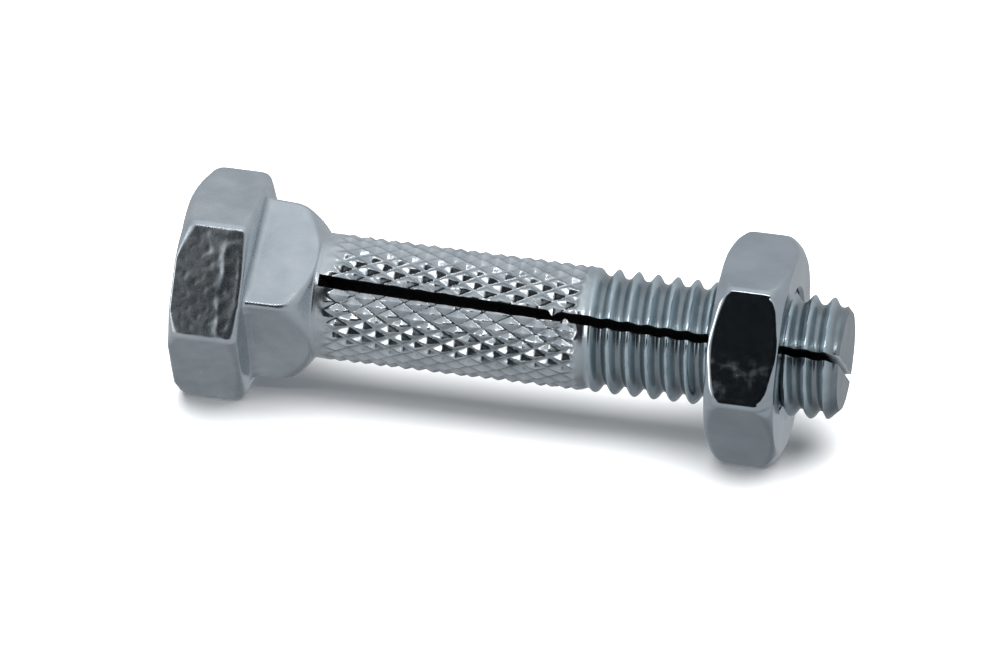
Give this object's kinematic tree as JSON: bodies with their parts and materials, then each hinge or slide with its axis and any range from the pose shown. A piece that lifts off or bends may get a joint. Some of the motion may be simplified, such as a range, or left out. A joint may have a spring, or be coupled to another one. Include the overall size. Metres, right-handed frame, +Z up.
{
  "type": "slotted wall anchor",
  "caption": "Slotted press-in wall anchor with hex head, square neck, knurled shank, machine thread and thin hex nut.",
  "frame": {"origin": "centre of the head's flat outer face, on the axis of the shank", "axes": "+X along the axis from the head to the threaded tip, +Z up, with one flat of each hexagon facing down"},
  "size_m": [0.042, 0.0148, 0.0128],
  "materials": {
    "head_zinc": "bright blue-white zinc plating over forged steel, slightly mottled",
    "shank_zinc": "bright zinc plating over rolled knurl and thread",
    "nut_zinc": "bright zinc plating, smooth flats and worn edges"
  },
  "bodies": {
    "bolt_head": {"head_and_neck": "head_zinc"},
    "leg_above_slot": {"upper_leg": "shank_zinc"},
    "leg_below_slot": {"lower_leg": "shank_zinc"},
    "nut_slider": {"nut_bearing_face": "nut_zinc"},
    "nut": {"hex_nut": "nut_zinc"}
  },
  "joints": [
    {"name": "upper_leg_squeeze", "type": "hinge", "parent": "bolt_head", "child": "leg_above_slot", "pos_m": [0.0088, 0.00042, 0.0005], "axis": [0, 0.766, -0.6428], "range_deg": [0, 0.4], "stiffness_Nm_per_rad": 0.6},
    {"name": "lower_leg_squeeze", "type": "hinge", "parent": "bolt_head", "child": "leg_below_slot", "pos_m": [0.0088, -0.00008, -0.0001], "axis": [0, -0.766, 0.6428], "range_deg": [0, 0.4], "stiffness_Nm_per_rad": 0.6},
    {"name": "nut_travel", "type": "slide", "parent": "bolt_head", "child": "nut_slider", "axis": [1, 0, 0], "range_m": [-0.00736, 0.00671]},
    {"name": "nut_turn", "type": "hinge", "parent": "nut_slider", "child": "nut", "pos_m": [0.0364, 0, 0], "axis": [1, 0, 0], "range_deg": [-2116, 1929]}
  ],
  "couplings": [
    {"joint": "lower_leg_squeeze", "follows": "upper_leg_squeeze", "ratio": 1},
    {"joint": "nut_travel", "follows": "nut_turn", "m_per_rad": 0.00019894}
  ]
}
